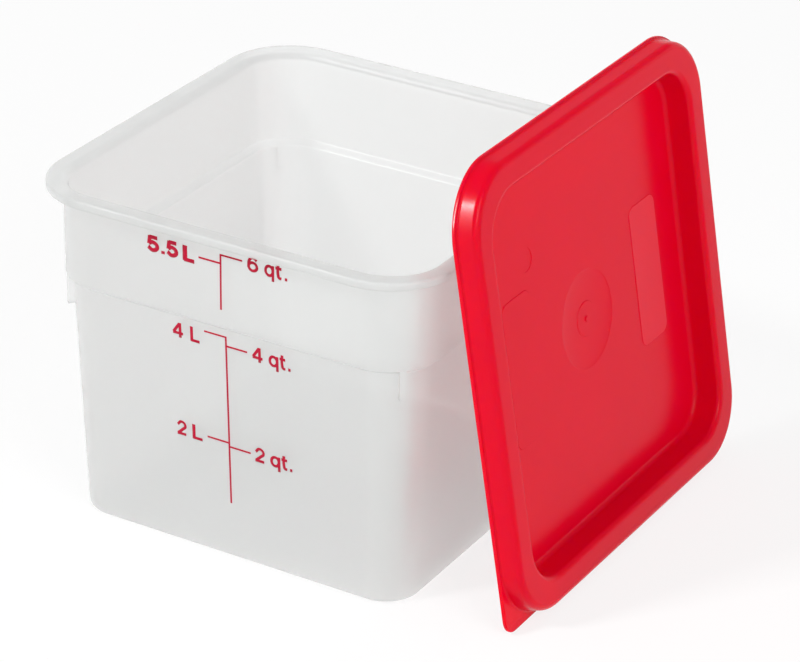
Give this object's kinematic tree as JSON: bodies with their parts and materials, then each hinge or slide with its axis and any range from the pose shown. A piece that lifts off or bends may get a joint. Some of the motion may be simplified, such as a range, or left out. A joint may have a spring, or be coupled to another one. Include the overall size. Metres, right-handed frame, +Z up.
{
  "type": "food storage container",
  "caption": "Square translucent tub with a rolled rim, stacking shoulder and corner ribs, and a press-on red lid taken off and leaning on its side; for keeping dry food.",
  "frame": {"origin": "centre of the container's base, on the surface it stands on", "axes": "+Z up, -Y out of the wall with the printed scale, +X towards the side that the lid leans on"},
  "size_m": [0.2658, 0.2502, 0.2233],
  "materials": {
    "clear_plastic": "translucent, finely frosted polypropylene",
    "red_plastic": "satin moulded polyethylene"
  },
  "bodies": {
    "container": {"container": "clear_plastic"},
    "lid": {"lid": "red_plastic"}
  },
  "joints": [
    {"name": "lid_lift", "type": "slide", "parent": "container", "child": "lid", "axis": [0, 0, 1], "range_m": [0, 0.25]}
  ]
}
